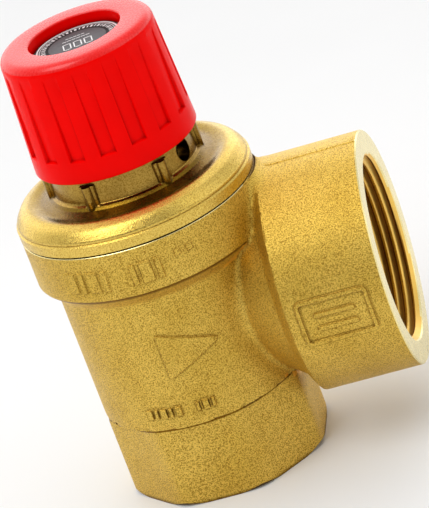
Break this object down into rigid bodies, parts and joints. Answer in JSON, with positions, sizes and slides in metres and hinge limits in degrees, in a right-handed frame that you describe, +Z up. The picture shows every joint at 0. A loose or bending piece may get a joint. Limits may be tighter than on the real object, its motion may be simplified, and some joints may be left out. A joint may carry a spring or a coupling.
{
  "type": "pressure relief valve",
  "caption": "Angle pressure relief valve: brass body with a threaded inlet below and a larger threaded outlet at the side, a spring bonnet and a fluted red test knob",
  "frame": {"origin": "middle of the object's box in plan, on the plane of the inlet face", "axes": "+Z up along the spindle, from the inlet to the knob; +X out of the outlet; +Y to the side"},
  "size_m": [0.0868, 0.061, 0.1193],
  "materials": {
    "forged_brass": "forged and shot blasted, fine grain, semi-matt; the outlet face and the top lip are turned bright",
    "turned_brass": "turned, bright, fine tool marks",
    "zinc_steel": "zinc plated steel",
    "spring_steel": "drawn spring steel, smooth",
    "epdm": "moulded black rubber, matt",
    "red_plastic": "moulded red plastic, satin gloss",
    "white_plastic": "moulded slippery plastic, satin",
    "printed_metal": "printed aluminium disc with a dark band and a grey middle"
  },
  "bodies": {
    "housing": {"body": "forged_brass", "bonnet": "forged_brass", "slip_ring": "white_plastic", "diaphragm": "epdm", "spring": "spring_steel", "upper_spring_plate": "zinc_steel", "adjusting_nut": "turned_brass"},
    "lift_stem": {"spindle": "zinc_steel", "spindle_clip": "spring_steel", "lift_washer": "zinc_steel", "spindle_nut": "zinc_steel"},
    "knob": {"cap": "red_plastic", "data_plate": "printed_metal"},
    "valve_disc": {"disc_holder": "turned_brass", "seat_seal": "epdm", "seal_washer": "zinc_steel", "seal_screw": "zinc_steel", "pressure_plate": "turned_brass", "diaphragm_nut": "turned_brass", "lower_spring_plate": "zinc_steel"}
  },
  "joints": [
    {"name": "test_lift", "type": "slide", "parent": "housing", "child": "lift_stem", "axis": [0, 0, 1], "range_m": [0, 0.002]},
    {"name": "knob_turn", "type": "hinge", "parent": "lift_stem", "child": "knob", "pos_m": [-0.0129, 0, 0.1], "axis": [0, 0, 1], "range_deg": [0, 40]},
    {"name": "pop_lift", "type": "slide", "parent": "lift_stem", "child": "valve_disc", "axis": [0, 0, 1], "range_m": [0, 0.003], "stiffness_N_per_m": 20000, "deforming": ["spring", "diaphragm"]}
  ],
  "couplings": [
    {"joint": "knob_turn", "follows": "test_lift", "rad_per_m": 349}
  ]
}
